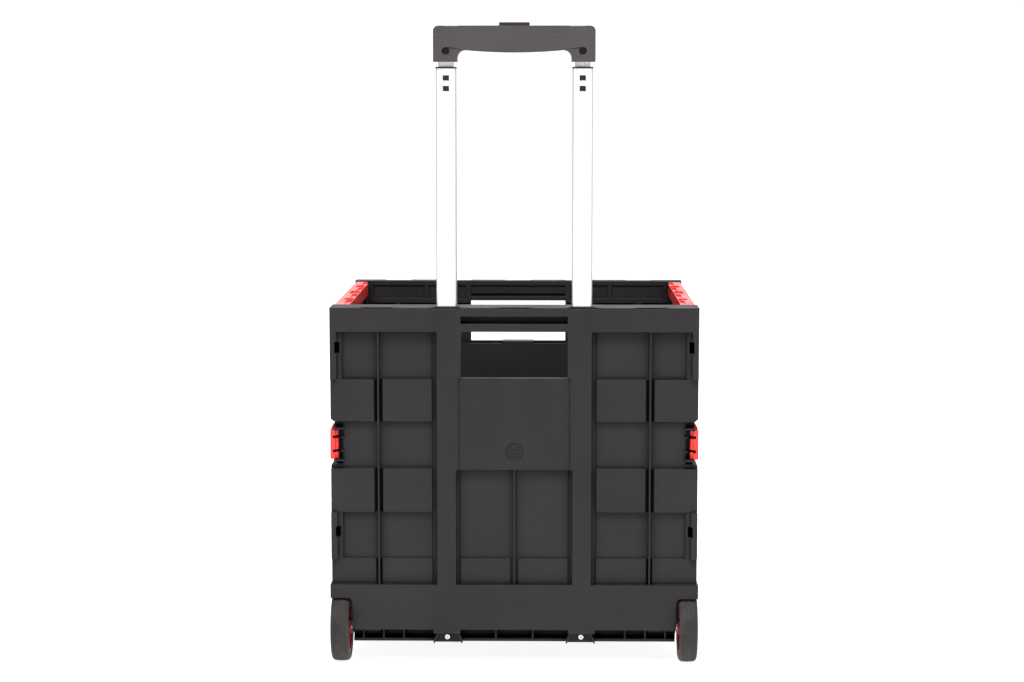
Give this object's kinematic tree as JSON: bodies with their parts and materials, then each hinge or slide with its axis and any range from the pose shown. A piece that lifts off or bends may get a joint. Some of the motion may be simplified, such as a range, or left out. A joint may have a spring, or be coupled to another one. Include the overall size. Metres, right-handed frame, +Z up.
{
  "type": "folding rolling tool box",
  "caption": "Folding rolling tool box: open-topped moulded crate with a telescopic pull handle, rear wheels, fold-up base, side walls that fold inwards and swing latches.",
  "frame": {"origin": "on the floor, under the centre of the whole object's bounding box", "axes": "+Z up, -Y towards the pull handle and wheels, +X to the right seen from the handle side"},
  "size_m": [0.4174, 0.388, 0.7248],
  "materials": {
    "body": "fine moulded texture",
    "trim": "smooth moulded",
    "handle": "fine moulded texture",
    "red": "semi-gloss moulded",
    "hub": "semi-gloss moulded",
    "tyre": "fine circumferential grooves",
    "pad": "matt",
    "steel": "zinc plated",
    "tube": "satin anodised"
  },
  "bodies": {
    "frame": {"back_panel": "body", "base_hinge_rod": "steel", "rear_hinge_pin_left": "steel", "rear_hinge_pin_right": "steel", "column_plug_left": "trim", "column_plug_right": "trim", "foot_screws": "steel", "mast_bushing_left": "trim", "mast_bushing_right": "trim", "axle_left": "steel", "axle_right": "steel", "axle_clips": "steel", "latch_pin_left": "steel", "latch_pin_right": "steel"},
    "wheel_left": {"tyre_left": "tyre", "hub_left": "hub"},
    "wheel_right": {"tyre_right": "tyre", "hub_right": "hub"},
    "base": {"base_panel": "body"},
    "side_rear_left": {"side_rear_left": "body", "rim_cap_rear_left": "red", "mid_hinge_pin_left": "steel"},
    "side_front_left": {"side_front_left": "body", "rim_cap_front_left": "red"},
    "front": {"front_panel": "body", "front_hinge_pin_left": "steel", "front_hinge_pin_right": "steel", "foot_pad_left": "pad", "foot_pad_right": "pad"},
    "side_rear_right": {"side_rear_right": "body", "rim_cap_rear_right": "red", "mid_hinge_pin_right": "steel"},
    "side_front_right": {"side_front_right": "body", "rim_cap_front_right": "red"},
    "latch_left": {"latch_left": "red"},
    "latch_right": {"latch_right": "red"},
    "mast_lower": {"outer_tube_left": "tube", "outer_tube_right": "tube", "tube_collar_left": "trim", "tube_collar_right": "trim", "outer_guide_left": "trim", "outer_guide_right": "trim"},
    "mast_upper": {"inner_tube_left": "tube", "inner_tube_right": "tube", "inner_guide_left": "trim", "inner_guide_right": "trim", "handle_body": "handle", "handle_cover": "handle", "handle_screws": "steel", "button_springs": "steel"},
    "button": {"release_button": "trim", "pushrod_left": "steel", "pushrod_right": "steel"}
  },
  "joints": [
    {"name": "wheel_left_spin", "type": "hinge", "parent": "frame", "child": "wheel_left", "pos_m": [-0.1974, -0.154, 0.04], "axis": [1, 0, 0], "continuous": true},
    {"name": "wheel_right_spin", "type": "hinge", "parent": "frame", "child": "wheel_right", "pos_m": [0.1974, -0.154, 0.04], "axis": [1, 0, 0], "continuous": true},
    {"name": "base_fold", "type": "hinge", "parent": "frame", "child": "base", "pos_m": [0, -0.139, 0.032], "axis": [1, 0, 0], "range_deg": [0, 90]},
    {"name": "side_fold", "type": "hinge", "parent": "frame", "child": "side_rear_left", "pos_m": [-0.199, -0.123, 0.2], "axis": [0, 0, -1], "range_deg": [0, 90]},
    {"name": "left_mid_fold", "type": "hinge", "parent": "side_rear_left", "child": "side_front_left", "pos_m": [-0.2055, 0.02075, 0.2], "axis": [0, 0, 1], "range_deg": [0, 180]},
    {"name": "front_swing", "type": "hinge", "parent": "side_front_left", "child": "front", "pos_m": [-0.199, 0.1645, 0.2], "axis": [0, 0, -1], "range_deg": [0, 90]},
    {"name": "right_rear_fold", "type": "hinge", "parent": "frame", "child": "side_rear_right", "pos_m": [0.199, -0.123, 0.2], "axis": [0, 0, 1], "range_deg": [0, 90]},
    {"name": "right_mid_fold", "type": "hinge", "parent": "side_rear_right", "child": "side_front_right", "pos_m": [0.2055, 0.02075, 0.2], "axis": [0, 0, -1], "range_deg": [0, 180]},
    {"name": "latch_left_turn", "type": "hinge", "parent": "frame", "child": "latch_left", "pos_m": [-0.2015, -0.166, 0.25], "axis": [0, 0, 1], "range_deg": [-5, 95]},
    {"name": "latch_right_turn", "type": "hinge", "parent": "frame", "child": "latch_right", "pos_m": [0.2015, -0.166, 0.25], "axis": [0, 0, -1], "range_deg": [-5, 95]},
    {"name": "mast_lower_slide", "type": "slide", "parent": "frame", "child": "mast_lower", "axis": [0, 0, 1], "range_m": [-0.262, 0]},
    {"name": "mast_upper_slide", "type": "slide", "parent": "mast_lower", "child": "mast_upper", "axis": [0, 0, 1], "range_m": [0, 0.25]},
    {"name": "button_press", "type": "slide", "parent": "mast_upper", "child": "button", "axis": [0, 0, -1], "range_m": [0, 0.005], "stiffness_N_per_m": 800, "springref_m": -0.002, "deforming": ["button_springs"]}
  ],
  "couplings": [
    {"joint": "left_mid_fold", "follows": "side_fold", "ratio": 2},
    {"joint": "front_swing", "follows": "side_fold", "ratio": 1},
    {"joint": "right_rear_fold", "follows": "side_fold", "ratio": 1},
    {"joint": "right_mid_fold", "follows": "side_fold", "ratio": 2}
  ]
}
